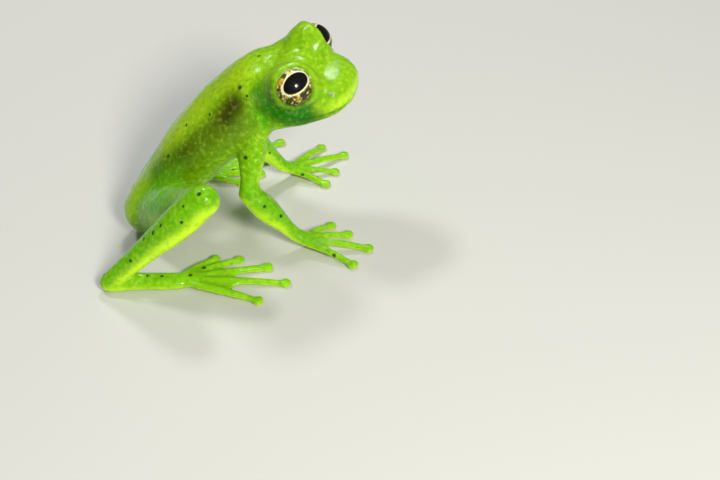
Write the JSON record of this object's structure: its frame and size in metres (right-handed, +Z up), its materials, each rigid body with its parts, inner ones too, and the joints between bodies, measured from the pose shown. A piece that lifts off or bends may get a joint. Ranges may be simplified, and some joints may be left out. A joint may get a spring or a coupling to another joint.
{
  "type": "glass frog figure",
  "caption": "Life-size glass frog, a still figure sitting up on its haunches with its head turned to the right.",
  "frame": {"origin": "middle of the small flat under the rump that the frog sits on, at floor level", "axes": "+X the way the trunk faces, +Y the frog's left, +Z up from the floor"},
  "size_m": [0.0253, 0.0269, 0.0195],
  "materials": {
    "skin": "moist, smooth, slightly translucent green skin",
    "eye": "wet, clear and glossy, cream and gold iris round a black pupil"
  },
  "bodies": {
    "root": {"trunk": "skin", "head": "skin", "eye_right": "eye", "eye_left": "eye", "thigh_right": "skin", "shank_right": "skin", "tarsus_right": "skin", "foot_right": "skin", "upper_arm_right": "skin", "forearm_right": "skin", "hand_right": "skin", "thigh_left": "skin", "shank_left": "skin", "tarsus_left": "skin", "foot_left": "skin", "upper_arm_left": "skin", "forearm_left": "skin", "hand_left": "skin"}
  },
  "joints": []
}
